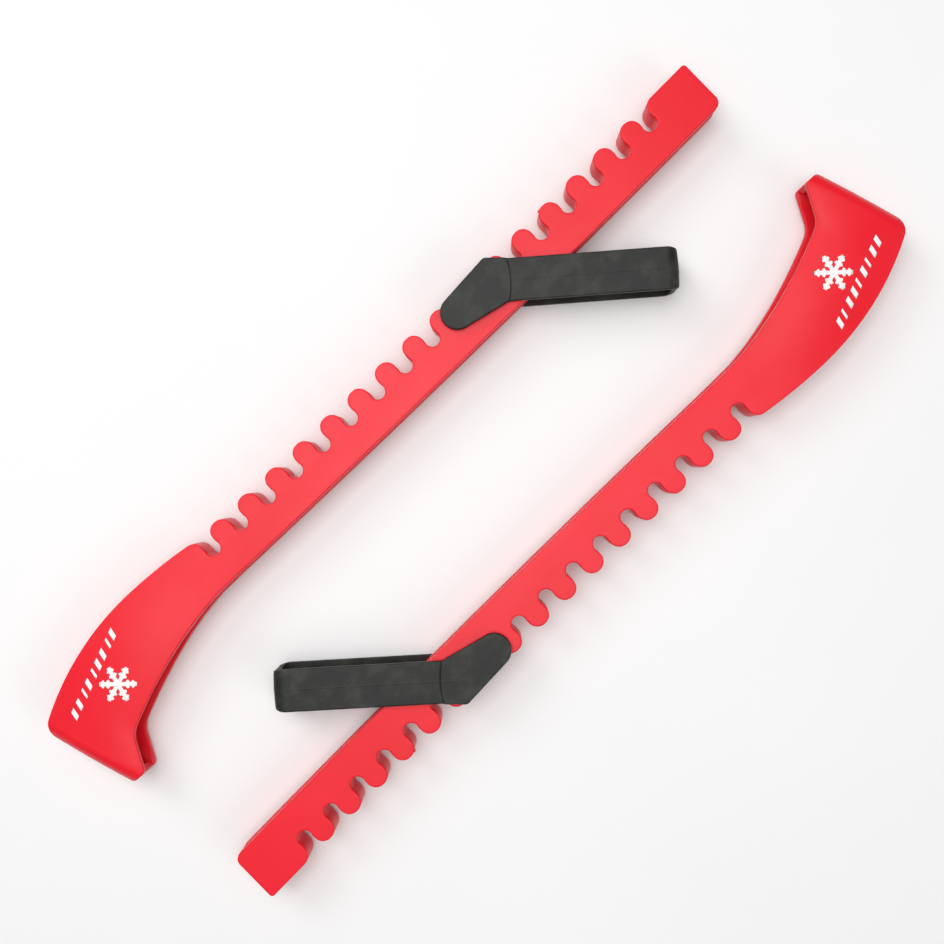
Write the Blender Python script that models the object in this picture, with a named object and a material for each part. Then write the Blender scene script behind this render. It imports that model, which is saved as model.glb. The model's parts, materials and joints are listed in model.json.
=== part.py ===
"""A pair of walking guards for hockey skate blades, lying on their sides.

Each guard is one moulded plastic bar with a blade slot along its mouth, a cup for the blade's toe, and
seventeen keyhole notches between sixteen ground teeth. A moulded rubber loop strap hooks round the bar:
its cross-bar sits in the root of one notch and its band goes up over the skate. The strap turns about
that cross-bar. Units are metres. Each guard is modelled in its own frame: +X to the toe, +Y to the
mouth, y = 0 on the line of the tooth tips, z = 0 at mid-thickness, x = 0 at the notch nearest the toe.
"""

import math

import bmesh
import bpy
from mathutils import Matrix, Vector

# Straight bar
GUARD_THICKNESS = 0.0144
BAR_HEIGHT = 0.0224          # tooth tips to mouth
HEEL_BLOCK = 0.0240          # solid end behind the last notch
HEEL_MOUTH_RADIUS = 0.0037
HEEL_GROUND_RADIUS = 0.0016
EDGE_RADIUS = 0.0009         # along both long edges
BOW_RISE = 0.00107           # the row of notches arches this much towards the mouth

# Notches
NOTCH_COUNT = 17
TOOTH_PITCH = 0.0156
NECK_WIDTH = 0.0060
ROOT_RADIUS = 0.0032
NOTCH_DEPTH = 0.0106
TIP_RADIUS = 0.0046
TIP_FLAT = 0.0001            # least half-width of the flat that a tooth's tip keeps
NECK_LEAST = 0.0002          # least straight height that a notch's neck keeps

# Toe, measured from the notch nearest to it
FRONT_FOOT = 0.1094          # where the front edge's line meets the line of the tooth tips
TOE_HEIGHT = 0.0563          # tooth tips to the top of the cup
TOE_SAG = 0.0026             # how far the toe's ground curve hangs below the tooth tips
TOE_LOWEST = 0.038           # where it hangs lowest
REAR_SWEEP = 0.220           # ground curve's radius behind and before that place
FRONT_SWEEP = 0.122
FRONT_LEAN = math.radians(17.1)
FRONT_CORNER = 0.009
TOP_CORNER = 0.0045
RIM_START = 0.006            # where the mouth line leaves the straight
RIM_POWER = 1.75             # how late the mouth line's rise to the cup steepens
CUP_CORNER = (0.0753, 0.0413)
CUP_TOP_REAR = (0.0836, 0.0563)
CUP_CORNER_RADIUS = 0.012
CROWN = 0.0020               # how much each side of the toe bulges
CROWN_START = 0.008
CROWN_FULL = 0.055
CROWN_POWER = 0.8            # below 1 makes the bulge flatter in its middle
NOSE_DEPTH = 0.0065          # depth of the rounded front edge
NOSE_FLAT = 0.0012           # half-width left at the very front

# Blade slot and toe pocket
SLOT_WIDTH = 0.0048
SLOT_DEPTH = 0.0094
POCKET_WALL = 0.0020         # at the rim of the cup
POCKET_OPENING = ((0.0, 0.0), (0.3, 0.25), (0.6, 0.85), (0.85, 1.08), (1.0, 1.0))  # share up, share of width
POCKET_WIDEN_START = 0.012
POCKET_WIDEN_FULL = 0.062
FRONT_WALL = 0.0046
TOP_WALL = 0.0028
FLOOR_STEP = 0.0120          # between stations along the slot's floor in the toe
FLOOR_STATIONS = 8
FLOOR_END_RISE = 0.0030      # from the last station to the corner under the front wall
SLOPE_STEP = 0.0010

# Strap
STRAP_NOTCH = 10             # counted from the toe
STRAP_GAP = 0.0003           # between the strap and each side of the bar
BAR_CLEARANCE = 0.00035      # between the cross-bar and the notch's root
HEAD_THICKNESS = 0.0027
HEAD_END_RADIUS = 0.0070
HEAD_END_SHIFT = (-0.0009, -0.0004)
HEAD_LENGTH = 0.0206         # cross-bar to the step where the band begins
HEAD_HEEL_CORNER = (0.0112, 0.0210)
HEAD_STEP_BULGE = 0.0012
HEAD_CORNER_RADIUS = 0.0022
HEAD_OVERHANG = 0.0004       # how far the head's outer corner stands past the band's edge
BAND_THICKNESS = 0.0022
BAND_WIDTH = 0.0175
BAND_OFFSET = 0.0027         # from the cross-bar's centre to the band's nearer edge
BAND_REACH = 0.0905          # cross-bar to the outside of the end bend
BEND_RADIUS = 0.0050
BEND_CORNER = 0.0016         # rounding of the band's corners at the bend

# The pair as it lies
MOUTH_TO_MOUTH = 0.0805      # between the two mouth lines at the middle of the pair
NOTCH_FROM_CENTRE = 0.09675  # nearest-toe notch to the pair's middle, along X
PAIR_SKEW = math.radians(0.61)
STRAP_ANGLES = {"right": math.radians(138.7), "left": math.radians(140.0)}

HALF = GUARD_THICKNESS / 2
ROW_HALF = (NOTCH_COUNT - 1) * TOOTH_PITCH / 2
HEEL_X = -2 * ROW_HALF - NECK_WIDTH / 2 - HEEL_BLOCK
SLOT_FLOOR = BAR_HEIGHT - SLOT_DEPTH
LOOP_HALF = HALF + STRAP_GAP
REST_HEIGHT = LOOP_HALF + HEAD_THICKNESS
ROOT_CENTRE = NOTCH_DEPTH - ROOT_RADIUS
TOE_START = -TOOTH_PITCH / 2  # middle of the tooth nearest the toe, where the toe's sections begin
ARC_STEPS = 5
PATH_STEP = 0.0025           # between the points that a curve is drawn through
FINE_STEP = 0.0005
OVERSHOOT = 0.004            # how far a cutter runs past what it cuts


# ---------------------------------------------------------------- plane curves

def arc(centre, radius, start, end, steps):
    """Points on a circle from one angle to another, both ends included."""
    turn = (end - start) / steps
    return [
        (centre[0] + radius * math.cos(start + turn * i), centre[1] + radius * math.sin(start + turn * i))
        for i in range(steps + 1)
    ]


def fillet(before, corner, after, radius, steps=ARC_STEPS):
    """The arc of this radius that rounds a corner between two straight runs."""
    here = Vector(corner)
    back = (Vector(before) - here).normalized()
    ahead = (Vector(after) - here).normalized()
    half_angle = back.angle(ahead) / 2
    centre = here + (back + ahead).normalized() * (radius / math.sin(half_angle))
    reach = radius / math.tan(half_angle)
    first = here + back * reach - centre
    last = here + ahead * reach - centre
    start = math.atan2(first.y, first.x)
    turn = first.angle_signed(last) * -1
    return arc(centre, radius, start, start + turn, steps)


def smooth(value, low, high):
    """0 below low, 1 above high, with an even S between."""
    share = min(max((value - low) / (high - low), 0.0), 1.0)
    return share * share * (3 - 2 * share)


def bowed(x, y):
    """The bar's slight arch: a parabola over the row of notches, carried on past both ends."""
    from_middle = (x + ROW_HALF) / ROW_HALF
    return y + BOW_RISE * (1 - from_middle * from_middle)


def before(bend, points):
    """The points that lie short of where a bend begins."""
    return [point for point in points if point[0] < bend[0][0] - PATH_STEP / 2]


def resampled(points, count):
    """The same path as evenly spaced points."""
    lengths = [0.0]
    for first, second in zip(points, points[1:]):
        lengths.append(lengths[-1] + math.dist(first, second))
    result = []
    leg = 0
    for i in range(count + 1):
        target = lengths[-1] * i / count
        while leg < len(points) - 2 and lengths[leg + 1] < target:
            leg += 1
        share = (target - lengths[leg]) / (lengths[leg + 1] - lengths[leg])
        first, second = points[leg], points[leg + 1]
        result.append((first[0] + (second[0] - first[0]) * share, first[1] + (second[1] - first[1]) * share))
    return result


# ---------------------------------------------------------------- guard outline

def front_edge(y):
    """X of the leaning front edge at a height."""
    return FRONT_FOOT - y * math.tan(FRONT_LEAN)


def from_front(x, y):
    """How far inside the front edge a point lies, square to that edge."""
    return (front_edge(y) - x) * math.cos(FRONT_LEAN)


def ground(x):
    """The toe's ground line: two tangent arcs that meet at its lowest place."""
    radius = REAR_SWEEP if x < TOE_LOWEST else FRONT_SWEEP
    rise = radius - math.sqrt(radius * radius - (x - TOE_LOWEST) ** 2)
    return min(rise - TOE_SAG, 0.0) if x < TOE_LOWEST else rise - TOE_SAG


def ground_path():
    """Toe ground line from the first notch to the front edge, with its rounded corner."""
    last = 0.0
    while from_front(last, ground(last)) > 0:
        last += FINE_STEP
    count = round(last / PATH_STEP)
    run = [(last * i / count, ground(last * i / count)) for i in range(count)]
    corner = (last, ground(last))
    above = (front_edge(TOE_HEIGHT), TOE_HEIGHT)
    bend = fillet(run[-3], corner, above, FRONT_CORNER, 8)
    return [(TOE_START, 0.0)] + before(bend, run) + bend


def rim_path():
    """Mouth line from the first notch, up the cup's rim to its top's rear corner."""
    start = Vector((RIM_START, BAR_HEIGHT))
    run = Vector(CUP_CORNER) - start
    rise = [(start.x + run.x * i / 12, start.y + run.y * (i / 12) ** RIM_POWER) for i in range(13)]
    bend = fillet(rise[-3], CUP_CORNER, CUP_TOP_REAR, CUP_CORNER_RADIUS, 6)
    return [(TOE_START, BAR_HEIGHT)] + before(bend, rise) + bend + [CUP_TOP_REAR]


def top_path():
    """Top of the cup, from its rear corner round its front corner on to the front edge."""
    corner = (front_edge(TOE_HEIGHT), TOE_HEIGHT)
    below = (front_edge(0.0), 0.0)
    return [CUP_TOP_REAR] + fillet(CUP_TOP_REAR, corner, below, TOP_CORNER)


def heel_stations():
    """Ground and mouth points of the sections at the rounded heel end."""
    stations = []
    for i in range(ARC_STEPS):
        angle = math.pi / 2 * i / ARC_STEPS
        sideways, along = 1 - math.cos(angle), 1 - math.sin(angle)
        stations.append((
            (HEEL_X + HEEL_GROUND_RADIUS * sideways, HEEL_GROUND_RADIUS * along),
            (HEEL_X + HEEL_MOUTH_RADIUS * sideways, BAR_HEIGHT - HEEL_MOUTH_RADIUS * along),
        ))
    return stations


def stations():
    """Every section of the bar, as a ground point and a mouth point, from the heel to the front edge."""
    result = heel_stations()
    for i in range(NOTCH_COUNT - 2, 0, -2):
        x = -(i + 0.5) * TOOTH_PITCH
        result.append(((x, 0.0), (x, BAR_HEIGHT)))
    low = resampled(ground_path(), 18)
    high = resampled(rim_path(), 14)[:-1] + resampled(top_path(), 4)
    return result + list(zip(low, high))


# ---------------------------------------------------------------- guard sections

def half_thickness(x, y, share):
    """Half the guard's thickness at a point that lies this share of the way from ground to mouth."""
    crown = CROWN * smooth(x, CROWN_START, CROWN_FULL) * (4 * share * (1 - share)) ** CROWN_POWER
    inside = min(max(from_front(x, y) / NOSE_DEPTH, 0.0), 1.0) if x > 0 else 1.0
    nose = math.sqrt(1 - (1 - inside) ** 2)
    return NOSE_FLAT + (HALF + crown - NOSE_FLAT) * nose


def section(low, high):
    """One closed section: up the +z side from the ground to the mouth and down the other."""
    height = math.dist(low, high)
    corner = EDGE_RADIUS / height
    shares = [0.0, corner * 0.3, corner, 0.25, 0.5, 0.75, 1 - corner, 1 - corner * 0.3, 1.0]
    insets = [1.0, 0.3, 0.0, 0.0, 0.0, 0.0, 0.0, 0.3, 1.0]
    side = []
    for share, inset in zip(shares, insets):
        x = low[0] + (high[0] - low[0]) * share
        y = low[1] + (high[1] - low[1]) * share
        side.append((x, bowed(x, y), half_thickness(x, y, share) - min(EDGE_RADIUS, NOSE_FLAT * 0.6) * inset))
    return side + [(x, y, -z) for x, y, z in reversed(side)]


def pocket_sections():
    """Sections of the space for the blade: a slot from the open heel that widens into the toe's cup."""
    result = []
    floor = [(HEEL_X - OVERSHOOT, SLOT_FLOOR)]
    floor += [(-(i + 0.5) * TOOTH_PITCH, SLOT_FLOOR) for i in range(NOTCH_COUNT - 2, 0, -2)]
    for x, y in floor:
        result.append(pocket_section((x, y), (x, BAR_HEIGHT + OVERSHOOT)))
    low = resampled(pocket_floor(), 17)
    rim = resampled(rim_path(), 14)
    for floor_point, rim_point in zip(low, rim[:-1]):
        outwards = (Vector(rim_point) - Vector(floor_point)).normalized() * OVERSHOOT
        result.append(pocket_section(floor_point, tuple(Vector(rim_point) + outwards)))
    ceiling = TOE_HEIGHT - TOP_WALL
    front = inner_front(ceiling - TOP_CORNER)
    bend = arc((front - TOP_CORNER, ceiling - TOP_CORNER), TOP_CORNER, math.pi / 2, math.pi / 6, 3)
    for floor_point, top_point in zip(low[14:], bend):
        result.append(pocket_section(floor_point, top_point))
    return result


def inner_front(y):
    """X of the inside of the front wall."""
    return front_edge(y) - FRONT_WALL / math.cos(FRONT_LEAN)


def pocket_floor():
    """The slot's floor through the toe: the ground line carried inwards, then up the front wall."""
    run = [(TOE_START, SLOT_FLOOR)]
    for x, y in [(FLOOR_STEP * i, ground(FLOOR_STEP * i)) for i in range(FLOOR_STATIONS)]:
        slope = math.atan2(ground(x + SLOPE_STEP) - ground(x), SLOPE_STEP) if x > 0 else 0.0
        lift = SLOT_FLOOR + (TOE_SAG if x > 0 else 0.0) * smooth(x, 0.0, TOE_LOWEST)
        run.append((x - lift * math.sin(slope), y + lift * math.cos(slope)))
    corner_y = run[-1][1] + FLOOR_END_RISE
    corner = (inner_front(corner_y), corner_y)
    bend = fillet(run[-2], corner, (inner_front(TOE_HEIGHT), TOE_HEIGHT), FRONT_CORNER / 2)
    return before(bend, run) + bend


def pocket_section(low, high):
    """One closed section of the pocket, widening from the slot's floor to the rim."""
    slot = SLOT_WIDTH / 2
    rim = HALF - POCKET_WALL
    widen = smooth(low[0], POCKET_WIDEN_START, POCKET_WIDEN_FULL)
    side = []
    for share, opened in POCKET_OPENING:
        x = low[0] + (high[0] - low[0]) * share
        y = low[1] + (high[1] - low[1]) * share
        side.append((x, bowed(x, y), slot + (rim - slot) * opened * widen))
    return side + [(x, y, -z) for x, y, z in reversed(side)]


def notch_outline():
    """One notch: rounded tooth corners, a neck, and a round root a little wider than the neck."""
    neck = NECK_WIDTH / 2
    meet = math.asin(neck / ROOT_RADIUS)
    root_start = ROOT_CENTRE - ROOT_RADIUS * math.cos(meet)
    tip = min(TIP_RADIUS, TOOTH_PITCH / 2 - neck - TIP_FLAT, root_start - NECK_LEAST)
    flare = neck + tip
    left = arc((-flare, tip), tip, -math.pi / 2, 0.0, 6)
    root = arc((0.0, ROOT_CENTRE), ROOT_RADIUS, -math.pi / 2 - meet, -3 * math.pi / 2, 6)
    half = [(-flare, -OVERSHOOT)] + left + root
    return half + [(-x, y) for x, y in reversed(half[:-1])]


# ---------------------------------------------------------------- solids

def mesh_object(name, bm, material=None):
    """A mesh object with this shape, its faces turned outwards and its round parts shaded smooth."""
    bmesh.ops.recalc_face_normals(bm, faces=bm.faces)
    mesh = bpy.data.meshes.new(name)
    bm.to_mesh(mesh)
    bm.free()
    if material:
        mesh.materials.append(material)
    mesh.shade_smooth()
    mesh.set_sharp_from_angle(angle=math.radians(35))
    made = bpy.data.objects.new(name, mesh)
    bpy.context.scene.collection.objects.link(made)
    return made


def lofted(name, sections, material=None):
    """Closed sections joined one to the next, with a face over each end."""
    bm = bmesh.new()
    loops = [[bm.verts.new(point) for point in ring] for ring in sections]
    for first, second in zip(loops, loops[1:]):
        for i in range(len(first)):
            j = (i + 1) % len(first)
            bm.faces.new((first[i], first[j], second[j], second[i]))
    bm.faces.new(loops[0])
    bm.faces.new(loops[-1])
    return mesh_object(name, bm, material)


def extruded(name, outline, low, high, material=None):
    """A flat outline carried straight up from z = low to z = high."""
    return lofted(name, [[(x, y, low) for x, y in outline], [(x, y, high) for x, y in outline]], material)


def as_cutter(tool):
    tool.hide_render = True
    tool.display_type = "WIRE"
    tool.hide_set(True)
    return tool


def boolean(target, tool, operation):
    modifier = target.modifiers.new(tool.name, "BOOLEAN")
    modifier.object = as_cutter(tool)
    modifier.operation = operation
    modifier.solver = "EXACT"


def material(name, colour, roughness, specular):
    made = bpy.data.materials.new(name)
    made.use_nodes = True
    shader = made.node_tree.nodes["Principled BSDF"]
    shader.inputs["Base Color"].default_value = (*colour, 1.0)
    shader.inputs["Roughness"].default_value = roughness
    shader.inputs["Metallic"].default_value = 0.0
    shader.inputs["Specular IOR Level"].default_value = specular
    return made


# ---------------------------------------------------------------- guard body

def notch_cutters():
    """All the notches as one cutter, each following the bar's arch."""
    bm = bmesh.new()
    tall = HALF + OVERSHOOT
    for i in range(NOTCH_COUNT):
        x = -i * TOOTH_PITCH
        rings = [
            [bm.verts.new((x + px, bowed(x, py), z)) for px, py in notch_outline()]
            for z in (-tall, tall)
        ]
        bm.faces.new(rings[0])
        bm.faces.new(rings[1])
        for j in range(len(rings[0])):
            k = (j + 1) % len(rings[0])
            bm.faces.new((rings[0][j], rings[0][k], rings[1][k], rings[1][j]))
    return mesh_object("notch_cutter", bm)


def guard_body(name, plastic):
    body = lofted(name, [section(low, high) for low, high in stations()], plastic)
    boolean(body, notch_cutters(), "DIFFERENCE")
    boolean(body, lofted("pocket_cutter", pocket_sections()), "DIFFERENCE")
    return body


# ---------------------------------------------------------------- strap

def head_outline():
    """The strap's side plate: a round end at the cross-bar, two straight flanks and the band's step."""
    centre = Vector(HEAD_END_SHIFT)
    near = Vector((HEAD_LENGTH, BAND_OFFSET))
    heel = Vector(HEAD_HEEL_CORNER)
    low = near - centre
    high = heel - centre
    low_angle = math.atan2(low.y, low.x) + math.asin(HEAD_END_RADIUS / low.length) - math.pi / 2
    high_angle = math.atan2(high.y, high.x) - math.asin(HEAD_END_RADIUS / high.length) + math.pi / 2
    end = arc(centre, HEAD_END_RADIUS, low_angle, high_angle - 2 * math.pi, 14)
    band_far = BAND_OFFSET + BAND_WIDTH
    far = (HEAD_LENGTH - HEAD_STEP_BULGE, band_far + HEAD_OVERHANG)
    bulge = (HEAD_LENGTH + HEAD_STEP_BULGE, BAND_OFFSET + BAND_WIDTH / 2)
    heel_corner = fillet(end[-1], tuple(heel), far, HEAD_CORNER_RADIUS, 3)
    band_corner = fillet(heel, far, bulge, HEAD_CORNER_RADIUS, 3)
    return end + heel_corner + band_corner + [bulge, tuple(near)]


def band_sections():
    """The loop of the band as sections across its width: out along one side, round the end and back."""
    inner, outer = LOOP_HALF, LOOP_HALF + BAND_THICKNESS
    inner_bend = BEND_RADIUS - BAND_THICKNESS
    start = HEAD_LENGTH / 2
    ring = [((start, -outer), (start, -inner))]
    for side in (-1, 1):
        outside = arc((BAND_REACH - BEND_RADIUS, side * (outer - BEND_RADIUS)), BEND_RADIUS,
                      side * math.pi / 2, 0.0, ARC_STEPS)
        inside = arc((BAND_REACH - BEND_RADIUS, side * (inner - inner_bend)), inner_bend,
                     side * math.pi / 2, 0.0, ARC_STEPS)
        pairs = list(zip(outside, inside))
        ring += pairs if side < 0 else pairs[::-1]
    ring.append(((start, outer), (start, inner)))
    low, high = BAND_OFFSET, BAND_OFFSET + BAND_WIDTH
    sections = []
    for (ox, oz), (ix, iz) in ring:
        trim = BEND_CORNER * smooth(ox, BAND_REACH - BAND_THICKNESS, BAND_REACH)
        sections.append([(ox, low + trim, oz), (ox, high - trim, oz), (ix, high - trim, iz), (ix, low + trim, iz)])
    return sections


def strap(name, rubber):
    body = lofted(name, band_sections(), rubber)
    for side, label in ((-1, "lower"), (1, "upper")):
        levels = sorted((side * LOOP_HALF, side * (LOOP_HALF + HEAD_THICKNESS)))
        boolean(body, extruded(label + "_head", head_outline(), *levels), "UNION")
    pin_half = LOOP_HALF + HEAD_THICKNESS / 2
    pin = extruded("cross_bar", arc((0.0, 0.0), ROOT_RADIUS - BAR_CLEARANCE, 0.0, 2 * math.pi, 20)[:-1],
                   -pin_half, pin_half)
    boolean(body, pin, "UNION")
    for tool in (m.object for m in body.modifiers):
        tool.parent = body
    return body


# ---------------------------------------------------------------- assembly

def frame(name, parent, location, turn):
    empty = bpy.data.objects.new(name, None)
    bpy.context.scene.collection.objects.link(empty)
    empty.parent = parent
    empty.location = location
    empty.rotation_euler = (0.0, 0.0, turn)
    return empty


def guard(side, parent, turn, plastic, rubber):
    """One guard with its strap, on an empty at the pair's middle."""
    holder = frame(side + "_guard_frame", parent, (0.0, 0.0, 0.0), turn)
    offset = Vector((NOTCH_FROM_CENTRE, -MOUTH_TO_MOUTH / 2 - BAR_HEIGHT, 0.0))
    body = guard_body(side + "_guard_body", plastic)
    body.parent = holder
    body.location = offset
    for tool in (m.object for m in body.modifiers):
        tool.parent = body
    loop = strap(side + "_strap", rubber)
    loop.parent = holder
    pivot_x = -(STRAP_NOTCH - 1) * TOOTH_PITCH
    loop.location = offset + Vector((pivot_x, bowed(pivot_x, ROOT_CENTRE), 0.0))
    loop.rotation_euler = (0.0, 0.0, STRAP_ANGLES[side])
    return [body, loop]


def centre_pair(pair, pieces):
    """Moves the pair so that its box is centred over the origin, with its lowest face on z = 0."""
    bpy.context.view_layer.update()
    graph = bpy.context.evaluated_depsgraph_get()
    corners = []
    for piece in pieces:
        made = piece.evaluated_get(graph)
        corners += [made.matrix_world @ Vector(vertex.co) for vertex in made.data.vertices]
    for axis in (0, 1):
        values = [corner[axis] for corner in corners]
        pair.location[axis] -= (min(values) + max(values)) / 2
    pair.location.z -= min(corner.z for corner in corners)


def main():
    for old in list(bpy.data.objects):
        bpy.data.objects.remove(old, do_unlink=True)
    plastic = material("red_plastic", (0.90, 0.035, 0.055), 0.38, 0.5)
    rubber = material("black_rubber", (0.035, 0.036, 0.034), 0.55, 0.4)
    pair = frame("pair", None, (0.0, 0.0, 0.0), 0.0)
    pieces = guard("right", pair, 0.0, plastic, rubber)
    pieces += guard("left", pair, math.pi - PAIR_SKEW, plastic, rubber)
    centre_pair(pair, pieces)


main()
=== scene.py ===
# %% [markdown]
# # A pair of skate blade guards
#
# Two walking guards for hockey skates lie on their sides on a pale table. Each one is a moulded
# red plastic bar with a slot for the blade, a cup for the toe and a row of notches. A black rubber
# loop hooks into one notch. The working model fixes where everything is and how it moves; this
# lesson builds the fine surfaces that are seen.

import json

import bmesh
import bpy
import numpy as np
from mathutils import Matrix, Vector


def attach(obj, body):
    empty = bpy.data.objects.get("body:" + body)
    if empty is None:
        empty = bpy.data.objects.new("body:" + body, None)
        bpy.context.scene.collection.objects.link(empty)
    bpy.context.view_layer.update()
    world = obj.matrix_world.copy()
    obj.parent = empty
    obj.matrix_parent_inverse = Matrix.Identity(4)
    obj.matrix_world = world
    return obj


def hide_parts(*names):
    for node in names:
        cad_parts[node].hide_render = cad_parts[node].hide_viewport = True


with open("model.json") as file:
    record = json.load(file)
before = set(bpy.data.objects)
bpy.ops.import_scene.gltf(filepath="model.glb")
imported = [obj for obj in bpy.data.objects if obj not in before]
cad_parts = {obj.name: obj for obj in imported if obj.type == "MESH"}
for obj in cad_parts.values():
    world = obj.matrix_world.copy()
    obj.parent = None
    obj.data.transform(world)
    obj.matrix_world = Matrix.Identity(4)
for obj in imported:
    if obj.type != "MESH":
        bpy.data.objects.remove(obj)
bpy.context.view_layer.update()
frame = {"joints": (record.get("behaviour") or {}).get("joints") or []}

# %% [markdown]
# ## Paths
#
# Every outline here is a path: an array of points in a plane, made of straight runs and arcs. Arcs
# are worth writing as arcs, because a moulder's drawing gives a radius at each corner, and a
# reader can change one number. Two helpers then place points along a path by length, and give the
# direction that points into the plastic.

# %% Path helpers
MM = 0.001
SAME = 1e-3 * MM                 # points nearer than this are one point
TINY = 1e-12                     # keeps a division by a length of zero from failing


def arc(centre, radius, start, end, count):
    """Points on a circle: centre + radius * (cos a, sin a), the angle a in even degrees."""
    angle = np.radians(np.linspace(start, end, count))
    x, y = centre[0] + radius * np.cos(angle), centre[1] + radius * np.sin(angle)
    return np.stack([x, y], axis=1)


def joined(*runs):
    """One path out of several, keeping one of each pair of points that coincide."""
    path = np.concatenate([np.atleast_2d(run) for run in runs])
    moved = np.linalg.norm(np.diff(path, axis=0), axis=1) > SAME
    return path[np.concatenate([[True], moved])]


def unit(vectors):
    """Each vector divided by its length."""
    return vectors / np.maximum(np.linalg.norm(vectors, axis=-1, keepdims=True), TINY)


def fillet(before, corner, after, radius, count):
    """The arc rounding a corner: its centre lies on the bisector, radius / sin(half angle) away."""
    before, corner, after = (np.asarray(point, float) for point in (before, corner, after))
    back, ahead = unit(before - corner), unit(after - corner)
    half = np.arccos(back @ ahead) / 2
    centre = corner + unit(back + ahead) * radius / np.sin(half)
    first, last = (corner + way * radius / np.tan(half) - centre for way in (back, ahead))
    start, end = (np.degrees(np.arctan2(way[1], way[0])) for way in (first, last))
    return arc(centre, radius, start, start + (end - start + 180) % 360 - 180, count)


def lengths(path):
    """Distance along the path to each of its points."""
    return np.concatenate([[0], np.cumsum(np.linalg.norm(np.diff(path, axis=0), axis=1))])


def along(path, share):
    """The points that lie these shares of the way along a path."""
    length = lengths(path)
    at = np.asarray(share, float) * length[-1]
    return np.stack([np.interp(at, length, path[:, axis]) for axis in (0, 1)], axis=-1)


def left_of(path):
    """Unit vectors to the left of travel: the mean way of a point's two legs, turned a quarter."""
    legs = unit(np.diff(path, axis=0))
    way = unit(np.concatenate([legs[:1], legs[:-1] + legs[1:], legs[-1:]]))
    return np.stack([-way[:, 1], way[:, 0]], axis=1)


def smooth(value, low, high):
    """0 below low and 1 above high, with the S curve t * t * (3 - 2 t) between."""
    t = np.clip((value - low) / (high - low), 0, 1)
    return t * t * (3 - 2 * t)


# %% [markdown]
# ## The guard's sizes
#
# The guard is drawn in its own flat frame: x runs to the toe from the notch nearest to it, y runs
# from the tips of the ground teeth to the mouth where the blade goes in, and z is the thickness,
# from the mid-plane out. They are the working model's sizes, so the fine surface lands on it.

# %% Guard sizes
HALF = 7.2 * MM                  # half the bar's thickness
BAR = 22.4 * MM                  # tooth tips to mouth
NOTCHES, PITCH = 17, 15.6 * MM   # the row's notches, and the way from one to the next
NECK = 3.0 * MM                  # half a notch's neck
ROOT, DEPTH = 3.2 * MM, 10.6 * MM    # radius of a notch's root, and its depth
TOOTH_CORNER = 4.6 * MM          # radius of a tooth's corners
ROW = (NOTCHES - 1) * PITCH / 2  # half the row's length
BLOCK = 24.0 * MM                # plain plastic behind the last notch
HEEL = -2 * ROW - NECK - BLOCK   # x of the heel's end
HEEL_GROUND, HEEL_MOUTH = 1.6 * MM, 3.7 * MM    # radii of the heel's two corners
BOW = 1.07 * MM                  # the bar arches this much towards its mouth
SAG, LOWEST = 2.6 * MM, 38.0 * MM    # how far the toe dips below the teeth, and where
REAR_SWEEP, FRONT_SWEEP = 220.0 * MM, 122.0 * MM    # radii of the arcs under the toe
FOOT, LEAN = 109.4 * MM, np.radians(17.1)    # where the front edge crosses y = 0; its lean
TALL = 56.3 * MM                 # tooth tips to the top of the cup
FRONT_CORNER, TOP_CORNER = 9.0 * MM, 4.5 * MM    # radii at the toe's front
RIM_START, RIM_POWER = 6.0 * MM, 1.75    # where the mouth's climb starts, and its steepness
CUP_CORNER = np.array([76.3, 41.2]) * MM     # where the climb meets the cup's rear wall
CUP_REAR = np.array([84.0, 56.3]) * MM       # where that wall meets the cup's top
SLOT = 2.4 * MM                  # half the blade slot
FLOOR = 13.0 * MM                # tooth tips to the slot's floor
CROWN = 2.0 * MM                 # how far the toe's sides bulge
NOSE, NOSE_HALF = 6.5 * MM, 1.2 * MM    # the nose's length, and half its thickness in front


def front_edge(y):
    """X of the leaning front edge: a straight line through (FOOT, 0)."""
    return FOOT - y * np.tan(LEAN)


def bowed(x, y):
    """y lifted by a parabola over the row: BOW * (1 - (distance from its middle / its half)^2)."""
    return y + BOW * (1 - ((x + ROW) / ROW) ** 2)


# %% [markdown]
# ## The outline on the ground side
#
# On the real guard each notch is a keyhole: a round root, a slightly narrower neck, and round
# tooth corners. One function draws a notch and a loop places seventeen. After them the outline
# sags in two tangent arcs under the toe and turns up at the front.

# %% Ground outline
CORNER_POINTS, ROOT_POINTS = 15, 33
REAR_POINTS, FRONT_POINTS, FOOT_POINTS = 40, 60, 40


def notch(x):
    """Tooth corner, keyhole root and tooth corner of the notch centred on x."""
    meet = np.degrees(np.arcsin(NECK / ROOT))
    out = NECK + TOOTH_CORNER
    return joined(
        arc((x - out, TOOTH_CORNER), TOOTH_CORNER, -90, 0, CORNER_POINTS),
        arc((x, DEPTH - ROOT), ROOT, -90 - meet, -450 + meet, ROOT_POINTS),
        arc((x + out, TOOTH_CORNER), TOOTH_CORNER, 180, 270, CORNER_POINTS),
    )


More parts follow.
